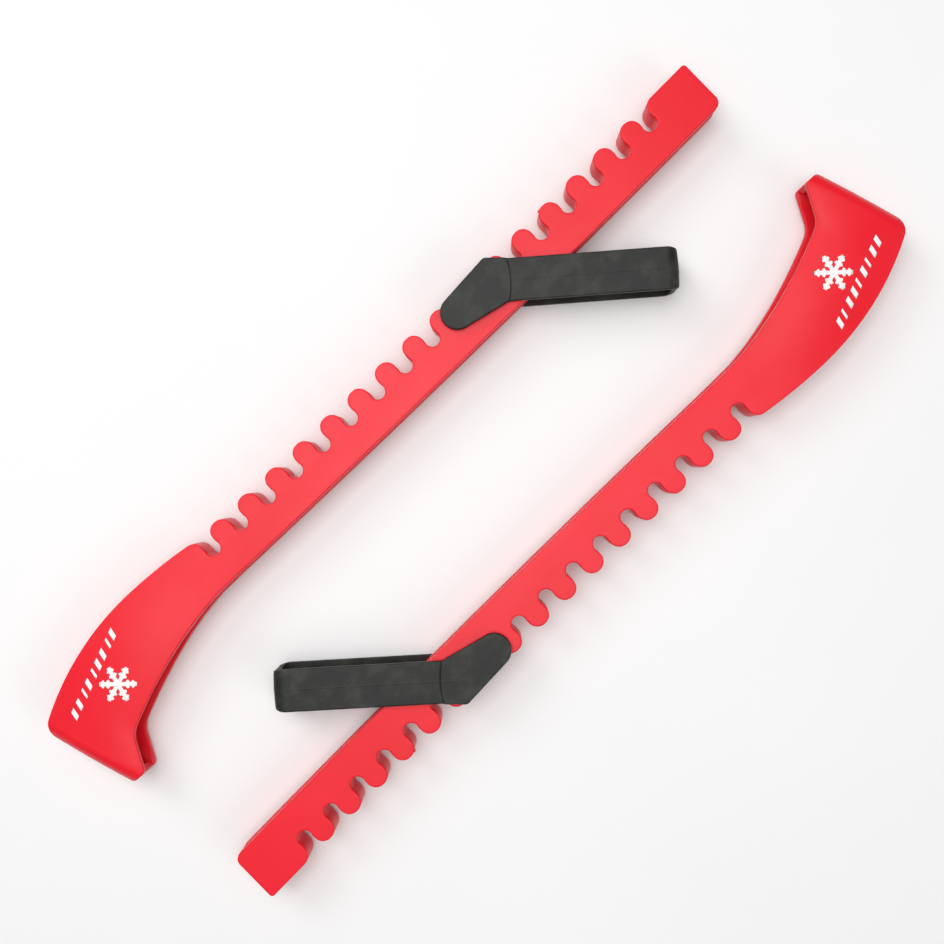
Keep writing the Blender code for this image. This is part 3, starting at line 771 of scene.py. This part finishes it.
def strap_points():
    """Rings of the strip, station by station, and the cross-bar as a closed cylinder."""
    round_end = HEAD_R * (1 - np.cos(np.linspace(0, np.pi / 2, TIP_STATIONS)))
    tip = STRIP - (HEAD_C[0] - HEAD_R) - round_end
    sides = STRIP - np.concatenate([np.arange(*run) for run in RUNS]) * MM
    turn = np.linspace(TURN, STRAIGHT, TURN_STATIONS)
    wall = [np.linspace(first, last, WALL_STATIONS)
            for first, last in ((STRAIGHT, WALL_FROM), (NUB_FROM, NUB_TO))]
    half = np.unique(np.concatenate([tip, sides, turn, *wall]))
    l = np.concatenate([-half[::-1], [0.0], half])
    share = np.unique(np.concatenate([np.linspace(0, 1, ACROSS)[1:-1], LINE_ROWS]))
    s, w, inside = strip_points(l, share)
    outer = outer_height(l, s, w) - rounding(inside, STRAP_EDGE)
    inner = rounding(inside, INNER_EDGE)
    long = l[:, None] + 0 * w
    ring = np.concatenate([rolled(long, w, outer), rolled(long, w, inner)[:, ::-1]], axis=1)
    shell = Shell()
    shell.grid(np.concatenate([ring, ring[:, :1]], axis=1))
    a = np.linspace(0, 2 * np.pi, CROSS_AROUND)
    r = np.array([0, CROSS_RADIUS, CROSS_RADIUS, 0])[:, None]
    z = np.array([-CROSS_HALF, -CROSS_HALF, CROSS_HALF, CROSS_HALF])[:, None] + 0 * a
    shell.grid(np.stack([r * np.cos(a), r * np.sin(a), z], axis=-1))
    return np.concatenate(shell.points), shell.faces


strap_xyz, strap_faces = strap_points()
for side in ("right", "left"):
    placed = turned(strap_xyz, TURNS[side] + STRAP_TURNS[side]) + swings[side]
    loop = sewn(side + "_strap_loop", placed, strap_faces, FINE_SEW)
    finished(loop, STRAP_SHARP)
    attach(loop, side + "_loop")
    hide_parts(side + "_strap")

# %% [markdown]
# ## The print on the toe
#
# Each cheek carries a white pad print. Its place and size are the real ones, and its shapes are
# plain: a six-armed frost star over a row of slanted dashes. Each mark is a very thin closed slab
# that follows the cheek's bulge, which is fitted by a smooth polynomial so that the ink lies
# evenly.

# %% Fitting the cheek
FIT_X, FIT_Y = (50 * MM, 95 * MM), (0, 34 * MM)    # the patch that the polynomial is fitted to
FIT_FRONT = NOSE + 1 * MM        # and how far behind the front edge it stays
ORDER = 6
FIT_MIDDLE, FIT_SCALE = np.array([70, 20]) * MM, np.array([25, 20]) * MM


def terms(flat):
    """All products x^i y^j with i + j up to ORDER, of lengths scaled to about 1."""
    scaled = (flat - FIT_MIDDLE) / FIT_SCALE
    x, y = scaled[..., 0], scaled[..., 1]
    powers = [(i, j) for i in range(ORDER + 1) for j in range(ORDER + 1 - i)]
    return np.stack([x**i * y**j for i, j in powers], axis=-1)


def cheek_height():
    """Coefficients of a polynomial in x and y for the cheek's height near the print."""
    side = toe_cheek.reshape(-1, 3)
    x, y = side[:, 0], side[:, 1]
    chosen = (x > FIT_X[0]) & (x < FIT_X[1]) & (y > FIT_Y[0]) & (y < FIT_Y[1])
    near = side[chosen & (ahead_of(side[:, :2]) > FIT_FRONT)]
    weights = np.linalg.lstsq(terms(near[:, :2]), near[:, 2], rcond=None)[0]
    left = np.abs(terms(near[:, :2]) @ weights - near[:, 2]).max()
    print("the fitted cheek is within", round(1000 * left / MM, 1), "thousandths of a mm")
    return weights


cheek_weights = cheek_height()

# %% The print
INK, SUNK = 0.06 * MM, 0.15 * MM    # how proud of the cheek a mark stands, and how deep it goes
CELLS = 14, 6                    # points along a mark and across it
STAR, STAR_REACH = np.array([66.2, 20.6]) * MM, 7.8 * MM    # its centre and an arm's length
ARMS, STAR_TURN = 6, 17          # the star's arms, and its turn in degrees
ARM_WIDE, TWIG_WIDE = 1.7 * MM, 1.2 * MM
TWIG_LEAN = np.radians(55)
TWIGS = [(0.42, 0.2496), (0.72, 0.2136)]    # place and length of a pair, as shares of the arm
INK_STEP, TWIG_INK, LEAN_INK = 0.05, 1.4, 0.02    # crossing marks differ in height, as shares
DASHES_FROM, DASHES_TO = np.array([53.0, 3.7]) * MM, np.array([88.5, 17.4]) * MM
DASHES = np.array([2.2, 1.2, 2.2, 2.2, 1.2, 2.2, 1.2, 2.2, 2.2]) * MM    # their widths
LAST_DASH = 0.955                # where the last one starts, as a share of the row
DASH_HALF, SLANT = 1.8 * MM, 1.0 * MM


def mark(shell, corners, height):
    """A closed slab over a four-cornered patch, a height proud of the cheek and sunk into it."""
    u, v = np.meshgrid(np.linspace(0, 1, CELLS[0]), np.linspace(0, 1, CELLS[1]), indexing="ij")
    a, b, c, d = (np.asarray(corner)[None, None, :] for corner in corners)
    u, v = u[..., None], v[..., None]
    flat = (a * (1 - u) + b * u) * (1 - v) + (d * (1 - u) + c * u) * v
    z = terms(flat) @ cheek_weights
    upper = np.concatenate([flat, (z + height)[..., None]], axis=-1)
    lower = np.concatenate([flat, (z - SUNK)[..., None]], axis=-1)
    shell.grid(upper)
    shell.grid(lower)
    for edge_of in (lambda p: p[0], lambda p: p[-1], lambda p: p[:, 0], lambda p: p[:, -1]):
        shell.grid(np.stack([edge_of(upper), edge_of(lower)]))


def bar_mark(shell, start, end, wide, height):
    """A straight bar from start to end."""
    way = unit(end - start)
    across = np.array([-way[1], way[0]]) * wide / 2
    mark(shell, (start - across, end - across, end + across, start + across), height)


def star(shell):
    """Three bars through the centre make six arms; each arm has two pairs of leaning twigs."""
    for i, angle in enumerate(np.radians(np.arange(ARMS) * 360 / ARMS + STAR_TURN)):
        arm = np.array([np.cos(angle), np.sin(angle)]) * STAR_REACH
        if i < ARMS / 2:
            bar_mark(shell, STAR - arm, STAR + arm, ARM_WIDE, INK * (1 + INK_STEP * i))
        for place, size in TWIGS:
            for side in (-1, 1):
                lean = angle + side * TWIG_LEAN
                start = STAR + arm * place
                twig = np.array([np.cos(lean), np.sin(lean)]) * size * STAR_REACH
                proud = INK * (TWIG_INK + INK_STEP * i + LEAN_INK * side)
                bar_mark(shell, start, start + twig, TWIG_WIDE, proud)


def dashes(shell):
    """Slanted dashes along a line, some wide and some narrow."""
    row = DASHES_TO - DASHES_FROM
    run = unit(row)
    up = np.array([-run[1], run[0]]) * DASH_HALF + run * SLANT
    for share, wide in zip(np.linspace(0, LAST_DASH, len(DASHES)), DASHES):
        start = DASHES_FROM + row * share
        end = start + run * wide
        mark(shell, (start - up, end - up, end + up, start + up), INK)


print_shell = Shell()
star(print_shell)
dashes(print_shell)
print_xyz = np.concatenate(print_shell.points)
for side in ("right", "left"):
    ink = sewn(side + "_toe_print", on_guard(print_xyz, side), print_shell.faces, FINE_SEW)
    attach(ink, side + "_guard")

# %% [markdown]
# ## Finishes
#
# The plastic is a soft, slightly cloudy red: moulding leaves a fine grain and faint flow streaks
# along the bar. The rubber has a dusty, mottled black. Both are noise at several scales, driving
# colour, roughness and bump on the object's own coordinates, so they travel with the piece.

# %% Node helpers
EVEN = (1, 1, 1)                 # noise that isn't stretched
BODY = 0.3, 0.7                  # nearly all noise values lie between these


def shader_of(name):
    """A new node material; returns it, its node tree and its Principled node."""
    made = bpy.data.materials.new(name)
    made.use_nodes = True
    tree = made.node_tree
    return made, tree, tree.nodes["Principled BSDF"]


def noise(tree, scale, detail, stretch=EVEN, rough=0.5):
    """Noise on Object coordinates, stretched; returns its value socket."""
    where = tree.nodes.new("ShaderNodeTexCoord")
    mapping = tree.nodes.new("ShaderNodeMapping")
    mapping.inputs["Scale"].default_value = stretch
    node = tree.nodes.new("ShaderNodeTexNoise")
    node.inputs["Scale"].default_value = scale
    node.inputs["Detail"].default_value = detail
    node.inputs["Roughness"].default_value = rough
    tree.links.new(where.outputs["Object"], mapping.inputs["Vector"])
    tree.links.new(mapping.outputs["Vector"], node.inputs["Vector"])
    return node.outputs["Fac"]


def ramp(tree, value, stops):
    """A colour ramp through the given (place, colour) stops; returns its colour socket."""
    node = tree.nodes.new("ShaderNodeValToRGB")
    while len(node.color_ramp.elements) < len(stops):
        node.color_ramp.elements.new(stops[1][0])
    for element, (place, colour) in zip(node.color_ramp.elements, stops):
        element.position, element.color = place, (*colour, 1)
    tree.links.new(value, node.inputs["Fac"])
    return node.outputs["Color"]


def ranged(tree, value, low, high):
    """The values between BODY's two ends, carried to low to high."""
    node = tree.nodes.new("ShaderNodeMapRange")
    for name, number in zip(("From Min", "From Max", "To Min", "To Max"), (*BODY, low, high)):
        node.inputs[name].default_value = number
    tree.links.new(value, node.inputs["Value"])
    return node.outputs["Result"]


def bumped(tree, shader, layers):
    """Bump nodes in a chain: each layer is a value, its depth in metres and its strength."""
    last = None
    for value, depth, strength in layers:
        node = tree.nodes.new("ShaderNodeBump")
        node.inputs["Distance"].default_value = depth
        node.inputs["Strength"].default_value = strength
        tree.links.new(value, node.inputs["Height"])
        if last is not None:
            tree.links.new(last, node.inputs["Normal"])
        last = node.outputs["Normal"]
    tree.links.new(last, shader.inputs["Normal"])


def surface(name, cover, stops, value, roughness, specular, layers):
    """A material: a ramp of colours over cover, a roughness range over value, and bump layers."""
    made, tree, shader = shader_of(name)
    patterns = {kind: noise(tree, *settings) for kind, settings in PATTERNS[name].items()}
    tree.links.new(ramp(tree, patterns[cover], stops), shader.inputs["Base Color"])
    tree.links.new(ranged(tree, patterns[value], *roughness), shader.inputs["Roughness"])
    shader.inputs["Specular IOR Level"].default_value = specular
    bumped(tree, shader, [(patterns[kind], depth, strength) for kind, depth, strength in layers])
    return made


# %% Finishes
PATTERNS = {                     # noise: scale, detail, stretch and roughness
    "satin_red_plastic": {"cloud": (28, 3), "streaks": (60, 4, (0.35, 2.2, 1), 0.6),
                          "grain": (2600, 2)},
    "dusty_black_rubber": {"smudge": (95, 5, EVEN, 0.6), "dust": (900, 4), "grain": (2200, 3)},
    "white_pad_ink": {"cover": (700, 4)},
}
RED = [(BODY[0], (0.775, 0.008, 0.019)), (BODY[1], (0.825, 0.012, 0.028))]
BLACK = [(0.34, (0.008, 0.009, 0.008)), (0.50, (0.017, 0.019, 0.016)),
         (0.64, (0.036, 0.038, 0.032))]
WHITE = [(0.32, (0.80, 0.74, 0.74)), (0.46, (0.90, 0.89, 0.89))]
finishes = {                     # bump layers: noise, depth in metres, strength
    "moulding": surface("satin_red_plastic", "cloud", RED, "streaks", (0.33, 0.41), 0.30,
                        [("streaks", 6e-5, 0.25), ("grain", 2e-5, 0.35)]),
    "loop": surface("dusty_black_rubber", "smudge", BLACK, "smudge", (0.46, 0.60), 0.31,
                    [("smudge", 1.2e-4, 0.3), ("dust", 3e-5, 0.3), ("grain", 1.5e-5, 0.4)]),
    "print": surface("white_pad_ink", "cover", WHITE, "cover", (0.40, 0.50), 0.5,
                     [("cover", 2e-5, 0.3)]),
}
for piece in [made for made in bpy.data.objects if made.type == "MESH"]:
    ending = piece.name.split("_")[-1]
    if ending in finishes:
        piece.data.materials.clear()
        piece.data.materials.append(finishes[ending])

# %% [markdown]
# ## Table, light and camera
#
# The pair is lit as a product is: a large soft box overhead, two weaker ones beside it, and a pale
# table that throws light back up at the edges. The camera looks straight down from 0.45 m, turned
# by an eighth of a turn, so that the pair lies along the diagonal.

# %% The stage
TABLE_HALF = 3.0                 # metres
TABLE_NOISE = 6, 3
TABLE_COLOURS = [(BODY[0], (0.86, 0.86, 0.86)), (BODY[1], (0.88, 0.88, 0.88))]
TABLE_ROUGH, TABLE_SPECULAR = 0.75, 0.2
LAMPS = [                        # name, place, width and power
    ("overhead", (0.0, 0.14, 1.1), 0.9, 9.5),
    ("upper_side", (-0.1, 1.3, 1.1), 0.8, 8),
    ("lower_side", (0.3, -1.3, 1.1), 0.8, 4),
]
ROOM = 0.24                      # strength of the white room around


def table():
    """A pale square table top, its upper face at z = 0."""
    made = bpy.data.objects.new("table", bpy.data.meshes.new("table"))
    corners = [(-1, -1, 0), (1, -1, 0), (1, 1, 0), (-1, 1, 0)]
    made.data.from_pydata((np.array(corners) * TABLE_HALF).tolist(), [], [(0, 1, 2, 3)])
    bpy.context.scene.collection.objects.link(made)
    paint, tree, shader = shader_of("pale_table")
    cloud = noise(tree, *TABLE_NOISE)
    tree.links.new(ramp(tree, cloud, TABLE_COLOURS), shader.inputs["Base Color"])
    shader.inputs["Roughness"].default_value = TABLE_ROUGH
    shader.inputs["Specular IOR Level"].default_value = TABLE_SPECULAR
    made.data.materials.append(paint)


def soft_box(name, place, width, power):
    """A square area light that faces the origin."""
    lamp = bpy.data.lights.new(name, "AREA")
    lamp.shape, lamp.size, lamp.size_y = "RECTANGLE", width, width
    lamp.energy = power
    made = bpy.data.objects.new(name, lamp)
    made.location = place
    made.rotation_euler = (-Vector(place)).to_track_quat("-Z", "Y").to_euler()
    bpy.context.scene.collection.objects.link(made)


table()
for lamp in LAMPS:
    soft_box(*lamp)
world = bpy.data.worlds.new("studio")
world.use_nodes = True
world.node_tree.nodes["Background"].inputs["Color"].default_value = (1, 1, 1, 1)
world.node_tree.nodes["Background"].inputs["Strength"].default_value = ROOM
bpy.context.scene.world = world
bpy.context.scene.view_settings.view_transform = "Standard"
print(len(LAMPS), "soft boxes over the table")

# %% The camera
LENS, SENSOR, NEAREST = 40.21, 36.0, 0.01    # mm, mm, m
PLACE, AIM = (0.0076, -0.0012, 0.4489), (-0.0030, 0.0164, -0.7798)    # m and radians

view = bpy.data.cameras.new("camera")
view.lens, view.sensor_width, view.clip_start = LENS, SENSOR, NEAREST
eye = bpy.data.objects.new("camera", view)
eye.location, eye.rotation_euler = PLACE, AIM
bpy.context.scene.collection.objects.link(eye)
bpy.context.scene.camera = eye
print("camera", round(PLACE[2], 3), "m above the table")
